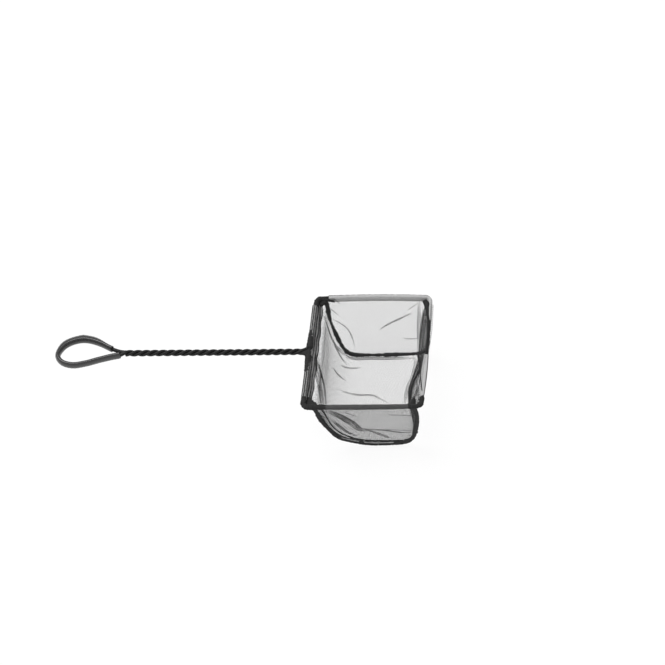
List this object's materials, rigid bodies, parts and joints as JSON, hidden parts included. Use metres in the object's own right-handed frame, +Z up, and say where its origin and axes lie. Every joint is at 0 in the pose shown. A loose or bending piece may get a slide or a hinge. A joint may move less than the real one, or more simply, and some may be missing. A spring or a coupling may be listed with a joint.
{
  "type": "aquarium fish net",
  "caption": "Rectangular wire-framed fish net with a sewn net bag, a twisted wire handle and a sleeved grip loop.",
  "frame": {"origin": "under the middle of the part, at the height of the bag's lowest point", "axes": "+X from the grip loop along the handle to the end of the mouth, +Y across the mouth to the far rail, +Z up out of the bag"},
  "size_m": [0.3596, 0.1318, 0.0896],
  "materials": {
    "coated_wire": "vinyl-coated steel wire, satin black",
    "vinyl_sleeve": "soft flattened vinyl tube, satin",
    "netting": "open black nylon netting",
    "binding": "folded nylon binding, overstitched",
    "hem": "folded and gathered nylon netting",
    "light_hem": "folded nylon netting, lighter grey"
  },
  "bodies": {
    "root": {"frame_wire": "coated_wire", "grip_sleeve": "vinyl_sleeve", "net_wrap": "netting", "net_far_panel": "netting", "net_near_panel": "netting", "far_seam_binding": "binding", "near_seam_binding": "binding", "hem_far": "light_hem", "hem_near": "hem", "hem_handle": "hem", "hem_end": "hem"}
  },
  "joints": []
}
